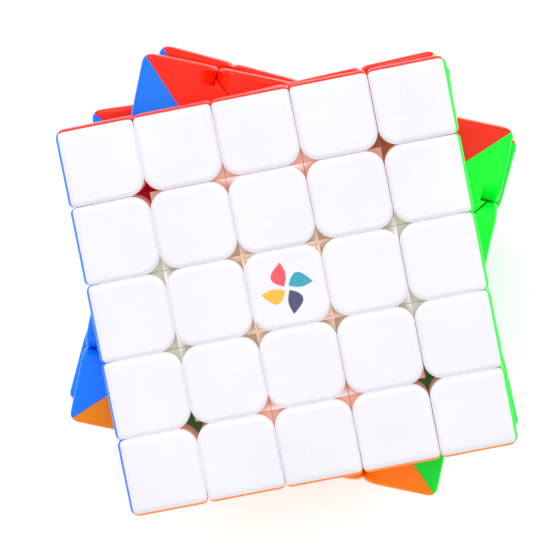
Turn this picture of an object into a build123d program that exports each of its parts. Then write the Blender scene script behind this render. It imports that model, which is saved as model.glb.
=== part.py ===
"""A stickerless 5 x 5 x 5 twisty puzzle cube, lying on its yellow face with its five layers turned about +Z.

98 outer pieces ride on a ball core. Every piece is a base, whose foot reaches in to the core, and one,
two or three coloured caps. The caps of an edge piece have skirts and shoulders, so that its base stays
covered where a turned layer shows its side. Two cut surfaces per half axis part the layers. Each is a
surface of revolution about its axis, so any layer can turn, and each steps outward near the faces, so
that every foot is hooked under its neighbours. The origin is the centre of the core, +Z points out of
the white face, and all sizes are millimetres.
"""

import os
from math import sqrt

from build123d import *

# ---------------------------------------------------------------- driving dimensions
CUBE = 62.5
LAYERS = 5
GAP = 0.12  # seam between neighbouring pieces
FIT = 0.05  # clearance between a base and the cap pushed onto it
MITRE_GAP = 0.04  # hairline between two caps of one piece
WALL = 1.5
TILE_RADIUS = 2.9  # corners of a tile where four tiles meet
EDGE_RADIUS = 1.5  # outer edges of the whole cube
RIM_RADIUS = 0.85  # rim round every tile

PITCH = CUBE / LAYERS
HALF = CUBE / 2
INNER_CUT = PITCH / 2  # between the middle layer and its neighbours
OUTER_CUT = 3 * PITCH / 2  # between those and the outer layers
TILE_LOW = INNER_CUT + GAP / 2
TILE_HIGH = OUTER_CUT - GAP / 2
TILE = TILE_HIGH - TILE_LOW
EDGE_LOW = OUTER_CUT + GAP / 2  # inner side of an edge or corner block
EDGE_DEPTH = HALF - EDGE_LOW
REACH = CUBE  # beyond every corner of the cube

# Turn of each layer about +Z in degrees, and its place counted from the middle.
LAYER_TURNS = {"bottom": -3.4, "lower": -26.1, "middle": -22.9, "upper": 1.6, "top": 0.0}
LAYER_LEVELS = {"bottom": -2, "lower": -1, "middle": 0, "upper": 1, "top": 2}

# The two cut surfaces: (radius, height) at the foot and the top of each one's step, and the slope inside it.
INNER_SURFACE = {"foot": (27.0, 4.0), "top": (29.4, INNER_CUT), "slope": 0.0}
OUTER_SURFACE = {"foot": (26.0, 13.0), "top": (29.75, OUTER_CUT), "slope": 0.5}

# Core, screws, springs and washers
CORE_RADIUS = 10.5
CORE_CLEAR = 0.2
CORE_WINDOW_RADIUS = 2.4
CORE_WINDOW_DEPTH = 4.0
SCREW_RADIUS = 1.5
SCREW_BORE = SCREW_RADIUS + 0.1
SCREW_TIP = 3.6
SCREW_SEAT = 21.0  # underside of the head
HEAD_RADIUS = 2.7
HEAD_HEIGHT = 2.0
RECESS_WIDTH = 0.7
RECESS_LENGTH = 3.2
RECESS_DEPTH = 1.1
CUP_FLOOR = 14.5  # where the lower washer lies in a fixed center
CUP_RADIUS = 3.1
WASHER_RADIUS = 2.8
WASHER_THICKNESS = 0.4
WASHER_CLEAR = 0.05
WIRE_RADIUS = 0.3
COIL_RADIUS = 2.15
COILS = 5

# Caps, and the plugs and necks that hold them
CENTER_FLOOR = 25.25  # underside of the plus and diagonal center caps, and of the edge caps' skirts
FIXED_FLOOR = 28.4  # underside of the six fixed center caps
SHOULDER_TOP = 28.1  # top of the shoulders that edge caps have under the rounded corners of their tiles
SOCKET_TOP = HALF - WALL
CENTER_PLUG_TOP = 28.25
FIXED_SOCKET_RADIUS = 3.9
SOCKET_LOW = TILE_LOW + WALL
CENTER_SOCKET_HALF = 2.6
CENTER_SOCKET_HIGH = 11.4
EDGE_SOCKET_HALF = TILE / 2 - WALL
WING_SOCKET_HIGH = 15.2
EDGE_SOCKET_LOW = EDGE_LOW + WALL
EDGE_PLUG_TOP = 26.5
NECK_THICKNESS = 4.4
NECK_START = 16.0
MIDDLE_NECK = (-3.4, 3.4)  # reach of the neck along a middle edge
WING_NECK = (8.3, 12.3)  # reach of the neck along a wing
CORNER_NECK_RADIUS = 2.0
EDGE_SOCKET = (EDGE_SOCKET_LOW, SOCKET_TOP)
EDGE_PLUG = (EDGE_SOCKET_LOW, EDGE_PLUG_TOP)
CENTER_SOCKET = (CENTER_FLOOR, SOCKET_TOP)
CENTER_PLUG = (CENTER_FLOOR - WALL, CENTER_PLUG_TOP)

# The six kinds of piece, each with the cell that stands for it. A cell counts layers from the middle ones.
CELLS = {
    "corner": (2, 2, 2),
    "wing": (1, 2, 2),
    "middle_edge": (0, 2, 2),
    "diagonal_center": (1, 1, 2),
    "plus_center": (0, 1, 2),
    "fixed_center": (0, 0, 2),
}
FLOORS = {(1, 1, 2): CENTER_FLOOR, (0, 1, 2): CENTER_FLOOR, (0, 0, 2): FIXED_FLOOR}

# An edge cap's skirt lies outside the tile's own prism and its shoulder inside it. Each is (inward, outward).
SKIRT = ((0, TILE_HIGH), (CENTER_FLOOR, REACH))
SHOULDER = ((0, SHOULDER_TOP), (CENTER_FLOOR, SHOULDER_TOP))
SKIRT_LENGTHS = {(1, 2, 2): (0, TILE_HIGH - TILE_RADIUS), (0, 2, 2): (-TILE / 2, TILE / 2)}

# Reach of sockets and plugs along the axes that a cell's tiles don't look along
ACROSS = {
    (2, 2, 2): [],
    (1, 2, 2): [(SOCKET_LOW, WING_SOCKET_HIGH)],
    (0, 2, 2): [(-EDGE_SOCKET_HALF, EDGE_SOCKET_HALF)],
    (1, 1, 2): [(SOCKET_LOW, CENTER_SOCKET_HIGH)] * 2,
    (0, 1, 2): [(-CENTER_SOCKET_HALF, CENTER_SOCKET_HALF), (SOCKET_LOW, CENTER_SOCKET_HIGH)],
}

STANDING = (Align.CENTER, Align.CENTER, Align.MIN)
UP = (0, 0, 1)
BACK = (0, 1, 0)
RIGHT = (1, 0, 0)
FACE_COLORS = {
    UP: "white",
    (0, 0, -1): "yellow",
    BACK: "red",
    (0, -1, 0): "orange",
    RIGHT: "green",
    (-1, 0, 0): "blue",
}

TO_X = Location((0, 0, 0), (0, 90, 0))
TO_Y = Location((0, 0, 0), (-90, 0, 0))
TO_Z = Location((0, 0, 0), (0, 0, 0))
FLIP = Location((0, 0, 0), (180, 0, 0))

os.makedirs("parts", exist_ok=True)


def finish(node, label):
    """Name a finished node and write its STEP file."""
    node.part.label = label
    export_step(node.part, f"parts/{label}.step")


# ---------------------------------------------------------------- the cut surfaces
def beyond(surface, shift):
    """The solid outward of a cut surface about +Z, starting shift beyond the surface itself."""
    foot_radius, foot_height = (surface["foot"][0] - shift, surface["foot"][1] + shift)
    top_radius, top_height = (surface["top"][0] - shift, surface["top"][1] + shift)
    axis_height = foot_height - surface["slope"] * foot_radius
    with BuildPart() as region:
        with BuildSketch(Plane.XZ):
            with BuildLine():
                Polyline(
                    (0, axis_height),
                    (foot_radius, foot_height),
                    (top_radius, top_height),
                    (REACH, top_height),
                    (REACH, REACH),
                    (0, REACH),
                    close=True,
                )
            make_face()
        revolve(axis=Axis.Z)
    return region.part


INNER_KEEP = beyond(INNER_SURFACE, GAP / 2)
INNER_CLEAR = beyond(INNER_SURFACE, -GAP / 2)
OUTER_KEEP = beyond(OUTER_SURFACE, GAP / 2)
OUTER_CLEAR = beyond(OUTER_SURFACE, -GAP / 2)


def whole_piece(cell):
    """All the space that the piece of a cell fills, from the core to the cube's faces."""
    with BuildPart() as whole:
        Box(CUBE, CUBE, CUBE)
        for layer, to_axis in zip(cell, (TO_X, TO_Y, TO_Z)):
            if layer == 2:
                add(OUTER_KEEP.moved(to_axis), mode=Mode.INTERSECT)
            elif layer == 1:
                add(INNER_KEEP.moved(to_axis), mode=Mode.INTERSECT)
                add(OUTER_CLEAR.moved(to_axis), mode=Mode.SUBTRACT)
            else:
                add(INNER_CLEAR.moved(to_axis), mode=Mode.SUBTRACT)
                add(INNER_CLEAR.moved(to_axis * FLIP), mode=Mode.SUBTRACT)
        Sphere(CORE_RADIUS + CORE_CLEAR, mode=Mode.SUBTRACT)
    return whole.part


# ---------------------------------------------------------------- the cap blocks, before they are hollowed
def center_block(floor):
    """A rounded tile on the +Z face, centred on the axis, from floor up to the face."""
    with BuildPart() as block:
        with BuildSketch(Plane.XY.offset(floor)):
            RectangleRounded(TILE, TILE, TILE_RADIUS)
        extrude(amount=HALF - floor)
        fillet(block.faces().sort_by(Axis.Z)[-1].edges(), RIM_RADIUS)
    return block.part


def outer_rims(block, faces_out):
    """The edges round the outer faces that get a rim: all that don't lie on a rounded edge of the cube."""
    rims = ShapeList()
    for edge in block.edges():
        middle = edge @ 0.5
        on_face = any(abs(middle.dot(Vector(face)) - HALF) < EDGE_RADIUS / 2 for face in faces_out)
        length_wise = any(
            abs(middle.dot(Vector(face)) - HALF + EDGE_RADIUS) < 0.01 for face in faces_out
        )
        if on_face and not length_wise:
            rims.append(edge)
    return rims


def edge_block():
    """The block between the +Y and +Z faces, centred on x = 0."""
    with BuildPart() as block:
        for plane, mode in (
            (Plane.XY.offset(HALF), Mode.ADD),
            (Plane.XZ.offset(-EDGE_LOW), Mode.INTERSECT),
        ):
            with BuildSketch(plane) as outline:
                with Locations((0, EDGE_LOW)):
                    Rectangle(TILE, EDGE_DEPTH, align=(Align.CENTER, Align.MIN))
                fillet(outline.vertices().group_by(Axis.Y)[0], TILE_RADIUS)
            extrude(amount=-EDGE_DEPTH, mode=mode)
        fillet(block.edges().filter_by(Axis.X).sort_by(Axis.Z)[-1], EDGE_RADIUS)
        fillet(outer_rims(block, (BACK, UP)), RIM_RADIUS)
    return block.part


def corner_block():
    """The block at the cube's corner between the +X, +Y and +Z faces."""
    with BuildPart() as block:
        with Locations((EDGE_LOW, EDGE_LOW, EDGE_LOW)):
            Box(EDGE_DEPTH, EDGE_DEPTH, EDGE_DEPTH, align=(Align.MIN, Align.MIN, Align.MIN))
        corners = block.vertices().sort_by_distance((0, 0, 0))
        fillet(meeting(block, corners[0]), TILE_RADIUS)
        fillet(meeting(block, corners[-1]), EDGE_RADIUS)
        fillet(outer_rims(block, (BACK, UP, RIGHT)), RIM_RADIUS)
    return block.part


def meeting(block, corner):
    """The edges of a block that end at one of its corners."""
    return block.edges().filter_by(lambda edge: edge.distance_to(corner) < FIT)


# ---------------------------------------------------------------- bases and caps
def fill(spans, grow=0, mode=Mode.ADD):
    """A box given by its spans along X, Y and Z, grown on every side."""
    low = [span[0] - grow for span in spans]
    size = [span[1] - span[0] + 2 * grow for span in spans]
    with Locations(tuple(low)):
        Box(*size, align=(Align.MIN, Align.MIN, Align.MIN), mode=mode)


def edge_neck(span, grow=0, mode=Mode.ADD):
    """The bar that runs out along the diagonal between +Y and +Z, to a plug in an edge block."""
    middle = (span[0] + span[1]) / 2
    start = Plane(origin=(middle, NECK_START, NECK_START), x_dir=RIGHT, z_dir=(0, 1, 1))
    with BuildSketch(start) as profile:
        Rectangle(span[1] - span[0] + 2 * grow, NECK_THICKNESS + 2 * grow)
    extrude(profile.sketch, amount=(EDGE_SOCKET_LOW + WALL - NECK_START) * sqrt(2), mode=mode)


def corner_neck(grow=0, mode=Mode.ADD):
    """The pin that runs out along the cube's diagonal, to a plug in a corner block."""
    start = Plane(origin=(NECK_START, NECK_START, NECK_START), z_dir=(1, 1, 1))
    with BuildSketch(start) as profile:
        Circle(CORNER_NECK_RADIUS + grow)
    extrude(profile.sketch, amount=(EDGE_SOCKET_LOW + WALL - NECK_START) * sqrt(3), mode=mode)


def neck(cell, grow=0, mode=Mode.ADD):
    """The neck of an edge or a corner piece. A center's plug stands on its base and needs none."""
    if cell == CELLS["corner"]:
        corner_neck(grow, mode)
    elif cell == CELLS["wing"]:
        edge_neck(WING_NECK, grow, mode)
    elif cell == CELLS["middle_edge"]:
        edge_neck(MIDDLE_NECK, grow, mode)


def faces_out(cell):
    """The outward directions of a cell's own tiles."""
    return [face for face, layer in zip((RIGHT, BACK, UP), cell) if layer == 2]


def tile_span(layer, low=EDGE_LOW):
    """How far a cell's block reaches along one axis. An outer layer's block goes on beyond the face."""
    spans = {0: (-TILE / 2, TILE / 2), 1: (TILE_LOW, TILE_HIGH), 2: (low, REACH)}
    return spans[layer]


def socket_or_plug(cell, edge_span, center_span):
    """The spans along X, Y and Z of a cell's socket or plug, given its span along the outward axes."""
    across = ACROSS[cell]
    outward = center_span if len(faces_out(cell)) == 1 else edge_span
    return across + [outward] * (3 - len(across))


def piece_block(cell):
    """A cell's solid block of caps with any skirts and shoulders, before it is hollowed."""
    with BuildPart() as block:
        if cell == CELLS["corner"]:
            add(corner_block())
        elif cell in SKIRT_LENGTHS:
            with Locations((cell[0] * PITCH, 0, 0)):
                add(edge_block())
            for inward, outward in (SKIRT, SHOULDER):
                fill([SKIRT_LENGTHS[cell], inward, outward])
                fill([SKIRT_LENGTHS[cell], outward, inward])
        else:
            with Locations((cell[0] * PITCH, cell[1] * PITCH, 0)):
                add(center_block(FLOORS[cell]))
        add(WHOLE[cell], mode=Mode.INTERSECT)
    return block.part


def piece_caps(cell):
    """The caps of a piece by the face they look out of: its block, hollowed and parted at the mitres."""
    caps = {}
    for face in faces_out(cell):
        with BuildPart() as cap:
            add(BLOCKS[cell])
            if cell == CELLS["fixed_center"]:
                with Locations((0, 0, FIXED_FLOOR)):
                    depth = SOCKET_TOP - FIXED_FLOOR
                    Cylinder(FIXED_SOCKET_RADIUS, depth, align=STANDING, mode=Mode.SUBTRACT)
            else:
                fill(socket_or_plug(cell, EDGE_SOCKET, CENTER_SOCKET), mode=Mode.SUBTRACT)
            neck(cell, FIT, Mode.SUBTRACT)
            for other in faces_out(cell):
                if other != face:
                    mitre = Plane(origin=(0, 0, 0), z_dir=Vector(face) - Vector(other))
                    split(bisect_by=mitre.offset(MITRE_GAP / 2), keep=Keep.TOP)
        caps[face] = cap.part
    return caps


def piece_base(cell):
    """The base of a piece: its foot, and the neck and plug that its caps are pushed onto."""
    low = FLOORS.get(cell, EDGE_LOW)
    with BuildPart() as base:
        add(WHOLE[cell])
        fill([tile_span(layer, low) for layer in cell], FIT, Mode.SUBTRACT)
        if cell in SKIRT_LENGTHS:
            for face in faces_out(cell):
                under_skirt = Plane(origin=(0, 0, 0), z_dir=face).offset(CENTER_FLOOR - FIT)
                split(bisect_by=under_skirt, keep=Keep.BOTTOM)
        if cell == CELLS["fixed_center"]:
            with Locations((0, 0, FIXED_FLOOR - WALL)):
                Cylinder(FIXED_SOCKET_RADIUS - FIT, SOCKET_TOP - FIXED_FLOOR, align=STANDING)
            with Locations((0, 0, CUP_FLOOR)):
                Cylinder(CUP_RADIUS, HALF, align=STANDING, mode=Mode.SUBTRACT)
            Cylinder(SCREW_BORE, HALF, align=STANDING, mode=Mode.SUBTRACT)
        else:
            fill(socket_or_plug(cell, EDGE_PLUG, CENTER_PLUG), -FIT)
            neck(cell)
            add(WHOLE[cell], mode=Mode.INTERSECT)
    return base.part


WHOLE = {cell: whole_piece(cell) for cell in CELLS.values()}
BLOCKS = {cell: piece_block(cell) for cell in CELLS.values()}


# ---------------------------------------------------------------- placing the pieces
def turned(place, direction):
    """Where a whole-number direction points after a placement that turns it by quarter turns."""
    position = (place * Location(direction)).position
    return tuple(round(value) for value in position)


def quarter_turns():
    """The 24 ways to turn a cube on to itself."""
    tilts = [(0, 0, 0), (90, 0, 0), (180, 0, 0), (270, 0, 0), (0, 90, 0), (0, 270, 0)]
    spins = [(0, 0, 90 * count) for count in range(4)]
    return [Location((0, 0, 0), tilt) * Location((0, 0, 0), spin) for tilt in tilts for spin in spins]


def placements(cell):
    """One placement for every cell that a kind of piece fills, as {cell: placement}."""
    places = {}
    for place in quarter_turns():
        places.setdefault(turned(place, cell), place)
    return places


def in_layer(place, layer):
    """A placement carried round with its layer's turn."""
    return Location((0, 0, 0), (0, 0, LAYER_TURNS[layer])) * place


def cap_group(kind, color):
    """The last part of a cap node's name. The two full faces are parted by kind of piece as well."""
    if color not in ("white", "yellow"):
        return f"{color}_caps"
    if kind.endswith("center"):
        return f"{color}_center_caps"
    if kind == "corner":
        return f"{color}_corner_caps"
    return f"{color}_edge_caps"


base_places = {}
cap_places = {}
for kind, cell in CELLS.items():
    base = piece_base(cell)
    caps = piece_caps(cell)
    for target, place in placements(cell).items():
        layer = next(name for name, level in LAYER_LEVELS.items() if level == target[2])
        spot = in_layer(place, layer)
        base_places.setdefault(f"{layer}_{kind}_bases", []).append((base, spot))
        for face, cap in caps.items():
            label = f"{layer}_{cap_group(kind, FACE_COLORS[turned(place, face)])}"
            cap_places.setdefault(label, []).append((cap, spot))

for label, spots in {**base_places, **cap_places}.items():
    with BuildPart() as node:
        for piece, spot in spots:
            with Locations(spot):
                add(piece)
    finish(node, label)


# ---------------------------------------------------------------- core, screws, springs and washers
def in_layers(place):
    """A placement on one of the six half axes, turned with the layer that its fixed center is in."""
    level = turned(place, UP)[2]
    layer = {1: "top", 0: "middle", -1: "bottom"}[level]
    return in_layer(place, layer)


HALF_AXES = [in_layers(place) for place in placements(UP).values()]
MIDDLE_TURN = Location((0, 0, 0), (0, 0, LAYER_TURNS["middle"]))
CORE_WINDOWS = [MIDDLE_TURN * place for place in placements((0, 1, 1)).values()]

with BuildPart() as core:
    Sphere(CORE_RADIUS)
    with Locations(*HALF_AXES):
        Cylinder(SCREW_RADIUS + FIT, CUBE, align=STANDING, mode=Mode.SUBTRACT)
    for place in CORE_WINDOWS:
        window = Location((0, 0, 0), (-45, 0, 0))
        with Locations(place * window * Location((0, 0, CORE_RADIUS - CORE_WINDOW_DEPTH))):
            Cylinder(CORE_WINDOW_RADIUS, CORE_RADIUS, align=STANDING, mode=Mode.SUBTRACT)
finish(core, "core")

with BuildPart() as screw:
    with Locations((0, 0, SCREW_TIP)):
        Cylinder(SCREW_RADIUS, SCREW_SEAT - SCREW_TIP, align=STANDING)
    with Locations((0, 0, SCREW_SEAT)):
        Cylinder(HEAD_RADIUS, HEAD_HEIGHT, align=STANDING)
    with Locations((0, 0, SCREW_SEAT + HEAD_HEIGHT - RECESS_DEPTH)):
        Box(RECESS_WIDTH, RECESS_LENGTH, HEAD_HEIGHT, align=STANDING, mode=Mode.SUBTRACT)
        Box(RECESS_LENGTH, RECESS_WIDTH, HEAD_HEIGHT, align=STANDING, mode=Mode.SUBTRACT)
with BuildPart() as screws:
    with Locations(*HALF_AXES):
        add(screw.part)
finish(screws, "screws")

LOWER_WASHER = CUP_FLOOR + WASHER_CLEAR
UPPER_WASHER = SCREW_SEAT - WASHER_CLEAR - WASHER_THICKNESS
with BuildPart() as washer_pair:
    for height in (LOWER_WASHER, UPPER_WASHER):
        with Locations((0, 0, height)):
            Cylinder(WASHER_RADIUS, WASHER_THICKNESS, align=STANDING)
    Cylinder(SCREW_BORE, CUBE, align=STANDING, mode=Mode.SUBTRACT)
with BuildPart() as washers:
    with Locations(*HALF_AXES):
        add(washer_pair.part)
finish(washers, "washers")

SPRING_LOW = LOWER_WASHER + WASHER_THICKNESS + WASHER_CLEAR + WIRE_RADIUS
SPRING_HIGH = UPPER_WASHER - WASHER_CLEAR - WIRE_RADIUS
SPRING_HEIGHT = SPRING_HIGH - SPRING_LOW
with BuildPart() as spring:
    with BuildLine() as coil:
        Helix(SPRING_HEIGHT / COILS, SPRING_HEIGHT, COIL_RADIUS, center=(0, 0, SPRING_LOW))
    with BuildSketch(Plane(origin=coil.line @ 0, z_dir=coil.line % 0)):
        Circle(WIRE_RADIUS)
    sweep(path=coil.line, is_frenet=True)
with BuildPart() as springs:
    with Locations(*HALF_AXES):
        add(spring.part)
finish(springs, "springs")
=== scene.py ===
"""Looks for the stickerless 5 x 5 x 5 twisty puzzle cube: moulded plastic, plated steel, a generic printed
rosette on the middle white tile, a pale floor and soft studio light.

Metres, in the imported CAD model's frame."""

from math import pi, radians, sin

import bmesh
import bpy
from mathutils import Matrix, Vector


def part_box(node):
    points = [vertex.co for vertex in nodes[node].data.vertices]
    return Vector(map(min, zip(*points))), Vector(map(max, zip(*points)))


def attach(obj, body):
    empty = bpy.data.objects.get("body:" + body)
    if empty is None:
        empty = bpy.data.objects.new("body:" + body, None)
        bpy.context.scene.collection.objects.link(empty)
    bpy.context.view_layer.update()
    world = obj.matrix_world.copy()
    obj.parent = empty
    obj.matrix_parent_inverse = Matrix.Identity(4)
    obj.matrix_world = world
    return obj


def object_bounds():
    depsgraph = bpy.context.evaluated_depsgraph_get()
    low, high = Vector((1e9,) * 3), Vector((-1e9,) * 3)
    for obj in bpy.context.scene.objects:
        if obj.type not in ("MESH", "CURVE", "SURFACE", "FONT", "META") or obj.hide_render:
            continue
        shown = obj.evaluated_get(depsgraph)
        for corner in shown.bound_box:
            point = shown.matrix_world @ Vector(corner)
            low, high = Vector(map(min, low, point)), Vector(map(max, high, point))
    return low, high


MM = 0.001
LAYERS = 5  # of tiles across each face
CUBE_CENTER = Vector((0, 0, 0))

# ---------------------------------------------------------------- driving values
VIEW_TILT = (4.45, -1.45, 11.15)  # turns of the cube in front of the camera about X, Y and Z, in degrees
VIEW_DISTANCE = 500.0 * MM  # from the camera to the cube's centre
VIEW_OFFSET = (-1.88 * MM, -1.135 * MM)  # of the camera from the cube's centre, to its right and up
VIEW_CLIP = 10 * MM  # nothing nearer to the camera is drawn
SENSOR = 36.0  # width, in millimetres
LENS = 191.8  # focal length, in millimetres

CAP_COLORS = {
    "white": (0.655, 0.648, 0.690),
    "yellow": (1.00, 0.68, 0.006),
    "red": (1.00, 0.016, 0.001),
    "orange": (1.00, 0.235, 0.001),
    "green": (0.001, 0.86, 0.036),
    "blue": (0.001, 0.20, 1.00),
}
BASE_COLOR = (0.82, 0.63, 0.51)
BROWN_BASE = (0.56, 0.27, 0.14)  # of the top layer's corners and wings at the back right
CRIMSON_BASE = (0.56, 0.008, 0.030)  # of those at the back left
GREEN_BASE = (0.090, 0.23, 0.075)  # and of those at the front
WARM_BOUNCE_LIGHT = (0.68, 0.38, 0.30)  # painted bounce light: pink on the white caps' foot beside the red and orange sides
GREY_BOUNCE_LIGHT = (0.53, 0.505, 0.43)  # and warm grey painted bounce light on it beside the green and blue ones
WHITE_GLOW = 0.17  # painted glow: emission standing in for light that spreads through the translucent white caps
SEAM_GLOW = 0.55  # and a stronger painted glow that lifts the shade in their seams
FOOT_GLOW = 0.24  # and a dimmer painted glow on their foot, at the bottom of a hole
RIM_DEPTH = (0.3 * MM, 1.2 * MM)  # how far below the tile's top the painted seam glow starts and is full
FOOT_DEPTH = (1.8 * MM, 3.0 * MM)  # how far below it the foot's painted bounce colour and dimmer painted glow start and are full
BASE_GLOW = 0.14  # painted glow: emission on the bases that lifts their shade, for light reaching them through the caps
CAP_ROUGHNESS = 0.30
BASE_ROUGHNESS = 0.5
BASE_GRAIN = 1.6  # how much deeper the moulded grain is on hidden plastic
CORE_COLOR = (0.78, 0.76, 0.70)
STEEL_COLOR = (0.60, 0.61, 0.63)
SPRING_COLOR = (0.48, 0.49, 0.52)

DRIFT_SIZE = 14 * MM  # of the slow drifts in tone and gloss, about a tile
MOTTLE_SIZE = 9 * MM
SMUDGE_SIZE = 5 * MM
WAVE_SIZE = 4 * MM
WAVE_DEPTH = 0.015 * MM
WORN_REACH = 0.7 * MM  # how far from an edge handling has polished it
WORN_SIZE = 1.5 * MM
SCRATCH_SIZE = 0.5 * MM
SCRATCH_DEPTH = 0.002 * MM
GRAIN_SIZE = 0.11 * MM
GRAIN_DEPTH = 0.006 * MM
SOFT_DEPTH = 1.2 * MM  # how far light travels inside the plastic

PRINT_COLORS = {
    "teal": (0.005, 0.30, 0.42),
    "coral": (0.80, 0.06, 0.09),
    "amber": (0.95, 0.42, 0.02),
    "slate": (0.035, 0.05, 0.13),
}
PRINT_RADIUS = 4.2 * MM
PRINT_PETAL_WIDTH = 1.5 * MM
PRINT_GAP = 0.35 * MM
PRINT_THICKNESS = 0.012 * MM

FLOOR_SIZE = 3.0
FLOOR_COLOR = (0.96, 0.96, 0.97)
FLOOR_GLOW = 0.26
FLOOR_GAP = 0.02 * MM  # between the floor and the face that the cube rests on
WORLD_LIGHT = 0.72  # what lights the cube; the camera itself sees pure white
LIGHTS = {  # each light's place, size and power in watts
    "overhead": ((0.15, 0.35, 1.1), 1.2, 6),
    "front_fill": ((-0.7, -0.8, 0.5), 0.8, 1.5),
    "side_fill": ((0.9, 0.3, 0.5), 0.8, 1.5),
    "back_strip": ((0.0, 0.75, 0.45), 0.15, 2.4),
}


# ---------------------------------------------------------------- node helpers
class Graph:
    """A short way to write a material's nodes."""

    def __init__(self, name):
        self.material = bpy.data.materials.new(name)
        self.material.use_nodes = True
        self.tree = self.material.node_tree
        self.tree.nodes.clear()
        self.output = self.node("ShaderNodeOutputMaterial")
        self.shader = self.node("ShaderNodeBsdfPrincipled")
        self.link(self.shader.outputs["BSDF"], self.output.inputs["Surface"])
        self.place = self.node("ShaderNodeTexCoord").outputs["Object"]

    def node(self, kind, **settings):
        made = self.tree.nodes.new(kind)
        for key, value in settings.items():
            setattr(made, key, value)
        return made

    def link(self, source, target):
        self.tree.links.new(source, target)

    def noise(self, feature, detail=3.0, stretch=(1, 1, 1), turn=(0, 0, 0), roughness=0.55):
        """Noise whose features are about the given size in metres. Returns its grey value."""
        mapping = self.node("ShaderNodeMapping")
        mapping.inputs["Scale"].default_value = stretch
        mapping.inputs["Rotation"].default_value = turn
        texture = self.node("ShaderNodeTexNoise")
        texture.inputs["Scale"].default_value = 1.0 / feature
        texture.inputs["Detail"].default_value = detail
        texture.inputs["Roughness"].default_value = roughness
        self.link(self.place, mapping.inputs["Vector"])
        self.link(mapping.outputs["Vector"], texture.inputs["Vector"])
        return texture.outputs["Fac"]

    def edges(self, reach):
        """About 1 along the part's convex edges and 0 further than reach from them."""
        inside = self.node("ShaderNodeAmbientOcclusion", inside=True, samples=3)
        inside.inputs["Distance"].default_value = reach
        return self.ramp(inside.outputs["AO"], 0.5, 0.95, 1.0, 0.0)

    def ramp(self, value, low, high, low_to=0.0, high_to=1.0):
        """Maps a grey value from low..high to low_to..high_to, clamped."""
        ranged = self.node("ShaderNodeMapRange", clamp=True)
        ends = {"From Min": low, "From Max": high, "To Min": low_to, "To Max": high_to}
        for key, number in ends.items():
            ranged.inputs[key].default_value = number
        self.link(value, ranged.inputs["Value"])
        return ranged.outputs["Result"]

    def math(self, operation, first, second):
        """One arithmetic step on sockets or plain numbers."""
        step = self.node("ShaderNodeMath", operation=operation)
        for slot, value in enumerate((first, second)):
            if isinstance(value, (int, float)):
                step.inputs[slot].default_value = value
            else:
                self.link(value, step.inputs[slot])
        return step.outputs["Value"]

    def axes(self):
        """The three coordinates of the shaded point in the part's own frame."""
        split = self.node("ShaderNodeSeparateXYZ")
        self.link(self.place, split.inputs["Vector"])
        return [split.outputs[axis] for axis in "XYZ"]

    def mix(self, factor, first, second):
        """Blends two colours. Each is a socket or an RGB triple."""
        blend = self.node("ShaderNodeMix", data_type="RGBA")
        self.link(factor, blend.inputs["Factor"])
        for key, value in (("A", first), ("B", second)):
            socket = next(s for s in blend.inputs if s.name == key and s.type == "RGBA")
            if isinstance(value, tuple):
                socket.default_value = (*value, 1.0)
            else:
                self.link(value, socket)
        return next(s for s in blend.outputs if s.type == "RGBA")

    def bump(self, height, distance, strength=1.0, under=None):
        """A bump of the given depth in metres, on top of another bump if there is one."""
        raised = self.node("ShaderNodeBump")
        raised.inputs["Distance"].default_value = distance
        raised.inputs["Strength"].default_value = strength
        self.link(height, raised.inputs["Height"])
        if under is not None:
            self.link(under, raised.inputs["Normal"])
        return raised.outputs["Normal"]

    def put(self, key, value):
        """Sets one input of the main shader to a socket or a value."""
        if isinstance(value, bpy.types.NodeSocket):
            self.link(value, self.shader.inputs[key])
        elif isinstance(value, tuple) and len(value) == 3 and key == "Base Color":
            self.shader.inputs[key].default_value = (*value, 1.0)
        else:
            self.shader.inputs[key].default_value = value


def scaled(color, factor):
    """A colour made lighter or darker, held to at most 1."""
    return tuple(min(1.0, channel * factor) for channel in color)


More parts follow.
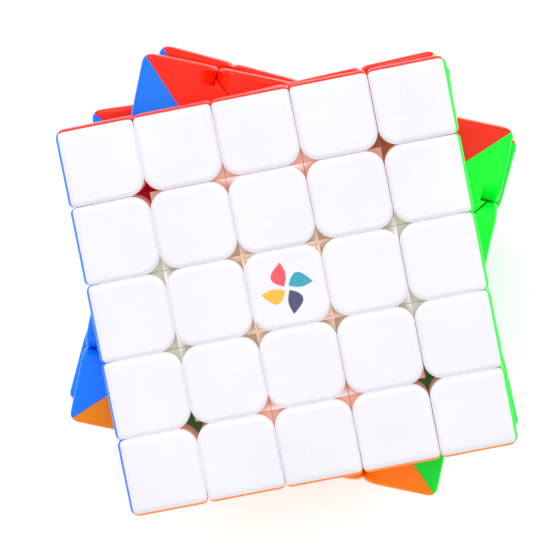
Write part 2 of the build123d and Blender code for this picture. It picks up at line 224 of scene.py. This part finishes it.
def moulded_plastic(name, color, roughness, soft, glow=0.0, grain=1.0, tint=None):
    """Satin moulded plastic: fine spark-eroded grain, edges polished by handling, faint scratches, and slow
    drifts of tone and gloss. The glow is a painted glow, an emission strength or a function that works one
    out in the graph, and the tint is a function from the graph and the plain shade to the final one, which
    may add painted bounce light."""
    g = Graph(name)
    drift = g.ramp(g.noise(DRIFT_SIZE, detail=0), 0.3, 0.7)
    mottle = g.ramp(g.noise(MOTTLE_SIZE, detail=4), 0.3, 0.7, 0.0, 0.5)
    tone = g.math("ADD", mottle, g.ramp(drift, 0, 1, 0.0, 0.5))
    shade = g.mix(tone, scaled(color, 0.97), scaled(color, 1.03))
    if tint is not None:
        shade = tint(g, shade)
    g.put("Base Color", shade)
    # Painted glow: emission in the surface's own colour, as strong as the glow given.
    g.put("Emission Color", shade)
    g.put("Emission Strength", glow(g) if callable(glow) else glow)

    long_marks = g.noise(SCRATCH_SIZE, 2, stretch=(0.04, 1.0, 0.25), turn=(0.2, 0.4, 0.7))
    cross_marks = g.noise(SCRATCH_SIZE, 2, stretch=(1.0, 0.03, 0.25), turn=(0.1, 0.3, -0.5))
    marks = g.math("MAXIMUM", g.ramp(long_marks, 0.66, 0.72), g.ramp(cross_marks, 0.67, 0.73))
    smudge = g.ramp(g.noise(SMUDGE_SIZE, 3), 0.35, 0.7, -0.02, 0.035)
    worn = g.math("MULTIPLY", g.edges(WORN_REACH), g.ramp(g.noise(WORN_SIZE, 3), 0.35, 0.6))
    gloss = g.math("ADD", g.math("ADD", smudge, roughness), g.math("MULTIPLY", marks, -0.06))
    gloss = g.math("ADD", gloss, g.math("MULTIPLY", worn, -0.07))
    g.put("Roughness", g.math("ADD", gloss, g.ramp(drift, 0, 1, -0.02, 0.02)))

    fine = g.bump(g.noise(GRAIN_SIZE, 2), GRAIN_DEPTH * grain)
    scored = g.bump(marks, -SCRATCH_DEPTH, under=fine)
    wavy = g.bump(g.noise(WAVE_SIZE, 1), WAVE_DEPTH, under=scored)
    g.put("Normal", wavy)

    g.put("Specular IOR Level", 0.2)
    g.put("Subsurface Weight", soft)
    g.put("Subsurface Radius", tuple(0.4 + 0.6 * channel for channel in color))
    g.put("Subsurface Scale", SOFT_DEPTH)
    return g.material


def quarter_tint(g, shade):
    """Crimson in the back left quarter of a layer, green in the two front ones, the given shade elsewhere."""
    x, y, _ = g.axes()
    behind = g.mix(g.math("LESS_THAN", x, 0.0), shade, CRIMSON_BASE)
    return g.mix(g.math("LESS_THAN", y, 0.0), behind, GREEN_BASE)


def foot_reach(g):
    """0 on a white cap's upper walls, rising to 1 at its foot: where the painted bounce colour and the dimmer
    painted glow go.
    """
    start, full = FOOT_DEPTH
    return g.ramp(g.axes()[2], tile_top - full, tile_top - start, 1.0, 0.0)


def painted_bounce_tint(g, shade):
    """Painted bounce light: pink low in the white caps beside the red and orange sides and warm grey beside
    the green and blue ones, standing in for colour the coloured caps throw into the seams.
    """
    beside_warm = g.ramp(g.math("ABSOLUTE", g.axes()[1], 0.0), 0.7 * tile_pitch, 1.1 * tile_pitch)
    return g.mix(foot_reach(g), shade, g.mix(beside_warm, GREY_BOUNCE_LIGHT, WARM_BOUNCE_LIGHT))


def seam_glow(g):
    """Strength of a white cap's painted glow (emission): least on its face, most in the narrow seams, where
    it lifts their shade, and less at the foot.
    """
    start, full = RIM_DEPTH
    wall = g.ramp(g.axes()[2], tile_top - full, tile_top - start, SEAM_GLOW, WHITE_GLOW)
    return g.math("SUBTRACT", wall, g.math("MULTIPLY", foot_reach(g), SEAM_GLOW - FOOT_GLOW))


def plated_steel(name, color, roughness):
    """Zinc-plated steel with turning lines and a few dull spots."""
    g = Graph(name)
    dull = g.ramp(g.noise(0.7 * MM, 4), 0.4, 0.7)
    g.put("Base Color", g.mix(dull, scaled(color, 1.1), scaled(color, 0.75)))
    g.put("Metallic", 1.0)
    g.put("Roughness", g.ramp(dull, 0, 1, roughness, roughness + 0.2))
    g.put("Normal", g.bump(g.noise(0.12 * MM, 2, stretch=(1, 1, 5)), 0.01 * MM))
    return g.material


def printed_ink(name, color):
    """A thin pad print: nearly flat colour with tiny pinholes and a slight sheen."""
    g = Graph(name)
    pinholes = g.ramp(g.noise(0.09 * MM, 2), 0.62, 0.7)
    g.put("Base Color", g.mix(pinholes, color, tuple(0.7 * c + 0.3 for c in color)))
    g.put("Roughness", g.ramp(g.noise(0.4 * MM, 3), 0.3, 0.7, 0.35, 0.5))
    g.put("Normal", g.bump(g.noise(0.2 * MM, 2), 0.004 * MM))
    return g.material


def paper_floor(name, color):
    """Pale seamless paper with a soft tooth, lit a little from below as on a light table."""
    g = Graph(name)
    g.put("Emission Color", (1.0, 1.0, 1.0, 1.0))
    g.put("Emission Strength", FLOOR_GLOW)
    g.put("Base Color", g.mix(g.noise(60 * MM, 3), scaled(color, 0.99), color))
    g.put("Roughness", 0.9)
    g.put("Normal", g.bump(g.noise(0.8 * MM, 3), 0.02 * MM))
    return g.material


def dress(piece, material):
    """Gives an object one material in place of whatever it had."""
    piece.data.materials.clear()
    piece.data.materials.append(material)


# ---------------------------------------------------------------- the frame and its materials
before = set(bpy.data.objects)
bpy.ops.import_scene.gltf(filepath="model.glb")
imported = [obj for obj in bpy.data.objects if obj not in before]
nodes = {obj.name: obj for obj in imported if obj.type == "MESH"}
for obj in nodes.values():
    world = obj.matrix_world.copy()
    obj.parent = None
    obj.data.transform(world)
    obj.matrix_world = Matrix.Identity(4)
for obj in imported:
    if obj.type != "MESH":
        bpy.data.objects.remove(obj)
cad_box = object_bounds()
tile_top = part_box("top_white_center_caps")[1].z
tile_pitch = 2 * tile_top / LAYERS

caps = {
    color: moulded_plastic(f"{color}_cap_plastic", rgb, CAP_ROUGHNESS, soft=0.06)
    for color, rgb in CAP_COLORS.items()
    if color != "white"
}
# The white caps get a painted glow, strongest in their seams, and painted bounce colour at their foot.
caps["white"] = moulded_plastic(
    "white_cap_plastic", CAP_COLORS["white"], CAP_ROUGHNESS, soft=0.25, glow=seam_glow, tint=painted_bounce_tint
)
# Both kinds of base get a painted glow (emission) that lifts their shade.
base_plastic = moulded_plastic(
    "base_plastic", BASE_COLOR, BASE_ROUGHNESS, soft=0.15, glow=BASE_GLOW, grain=BASE_GRAIN
)
tinted_base_plastic = moulded_plastic(
    "tinted_base_plastic",
    BROWN_BASE,
    BASE_ROUGHNESS,
    soft=0.05,
    glow=BASE_GLOW,
    grain=BASE_GRAIN,
    tint=quarter_tint,
)
core_plastic = moulded_plastic("core_plastic", CORE_COLOR, BASE_ROUGHNESS, soft=0.05, grain=BASE_GRAIN)
steel = plated_steel("plated_steel", STEEL_COLOR, roughness=0.25)
spring_steel = plated_steel("spring_steel", SPRING_COLOR, roughness=0.3)

for label, node in nodes.items():
    if label.endswith("_caps"):
        dress(node, caps[label.split("_")[1]])
    elif label in ("top_corner_bases", "top_wing_bases"):
        dress(node, tinted_base_plastic)
    elif label.endswith("_bases"):
        dress(node, base_plastic)
    elif label == "core":
        dress(node, core_plastic)
    elif label == "springs":
        dress(node, spring_steel)
    else:
        dress(node, steel)


# ---------------------------------------------------------------- the rosette on the middle white tile
def petal_outline(steps=20):
    """Half-way round one petal of the pinwheel and back: a leaf that leans to one side."""
    points = []
    for step in range(steps + 1):
        along = step / steps
        reach = PRINT_GAP + (PRINT_RADIUS - PRINT_GAP) * along
        points.append((reach, -PRINT_PETAL_WIDTH * 0.35 * sin(pi * along) + PRINT_GAP))
    for step in range(steps - 1, 0, -1):
        along = step / steps
        reach = PRINT_GAP + (PRINT_RADIUS - PRINT_GAP) * along
        points.append((reach, PRINT_PETAL_WIDTH * 1.25 * sin(pi * along ** 0.8) + PRINT_GAP))
    return points


def printed_petal(name, material, turn, height):
    """One flat petal of ink, a few microns thick, lying on the tile."""
    mesh = bpy.data.meshes.new(name)
    bm = bmesh.new()
    outline = [bm.verts.new((x, y, height)) for x, y in petal_outline()]
    face = bm.faces.new(outline)
    raised = bmesh.ops.extrude_face_region(bm, geom=[face])
    lifted = [item for item in raised["geom"] if isinstance(item, bmesh.types.BMVert)]
    bmesh.ops.translate(bm, verts=lifted, vec=(0, 0, PRINT_THICKNESS))
    bmesh.ops.transform(bm, verts=bm.verts, matrix=Matrix.Rotation(turn, 4, "Z"))
    bmesh.ops.recalc_face_normals(bm, faces=bm.faces)
    bm.to_mesh(mesh)
    bm.free()
    petal = bpy.data.objects.new(name, mesh)
    bpy.context.scene.collection.objects.link(petal)
    petal.data.materials.append(material)
    return petal


for count, (ink, rgb) in enumerate(PRINT_COLORS.items()):
    ink_material = printed_ink(f"{ink}_ink", rgb)
    petal = printed_petal(f"print_petal_{ink}", ink_material, count * pi / 2, tile_top)
    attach(petal, "top_layer")


# ---------------------------------------------------------------- floor, light and camera
def make_floor():
    """A pale sheet under the cube."""
    mesh = bpy.data.meshes.new("floor")
    half = FLOOR_SIZE / 2
    level = cad_box[0][2] - FLOOR_GAP
    corners = [(-half, -half, level), (half, -half, level), (half, half, level), (-half, half, level)]
    mesh.from_pydata(corners, [], [(0, 1, 2, 3)])
    floor = bpy.data.objects.new("floor", mesh)
    bpy.context.scene.collection.objects.link(floor)
    floor.data.materials.append(paper_floor("floor_paper", FLOOR_COLOR))


def soft_light(name, place, size, power):
    """A square area light aimed at the cube's centre."""
    light = bpy.data.lights.new(name, "AREA")
    light.size = size
    light.energy = power
    lamp = bpy.data.objects.new(name, light)
    lamp.location = place
    lamp.rotation_euler = (CUBE_CENTER - Vector(place)).to_track_quat("-Z", "Y").to_euler()
    bpy.context.scene.collection.objects.link(lamp)


def make_camera():
    """A long lens over the white face, from the view tilt, distance and offset."""
    camera = bpy.data.objects.new("camera", bpy.data.cameras.new("camera"))
    camera.data.sensor_width = SENSOR
    camera.data.lens = LENS
    camera.data.clip_start = VIEW_CLIP
    tilt = [Matrix.Rotation(radians(angle), 4, axis) for angle, axis in zip(VIEW_TILT, "XYZ")]
    turned = tilt[0] @ tilt[1] @ tilt[2]
    camera.matrix_world = turned.inverted() @ Matrix.Translation((*VIEW_OFFSET, VIEW_DISTANCE))
    bpy.context.scene.collection.objects.link(camera)
    bpy.context.scene.camera = camera


def make_world():
    """Even white light from all round, seen by the camera as a pure white ground."""
    world = bpy.data.worlds.new("studio")
    world.use_nodes = True
    tree = world.node_tree
    seen = tree.nodes.new("ShaderNodeLightPath").outputs["Is Camera Ray"]
    level = tree.nodes.new("ShaderNodeMapRange")
    level.inputs["To Min"].default_value = WORLD_LIGHT
    tree.links.new(seen, level.inputs["Value"])
    tree.nodes["Background"].inputs["Color"].default_value = (1, 1, 1, 1)
    tree.links.new(level.outputs["Result"], tree.nodes["Background"].inputs["Strength"])
    bpy.context.scene.world = world


make_floor()
for light_name, (light_place, light_size, light_power) in LIGHTS.items():
    soft_light(light_name, light_place, light_size, light_power)
make_camera()
make_world()
bpy.context.scene.view_settings.view_transform = "Standard"
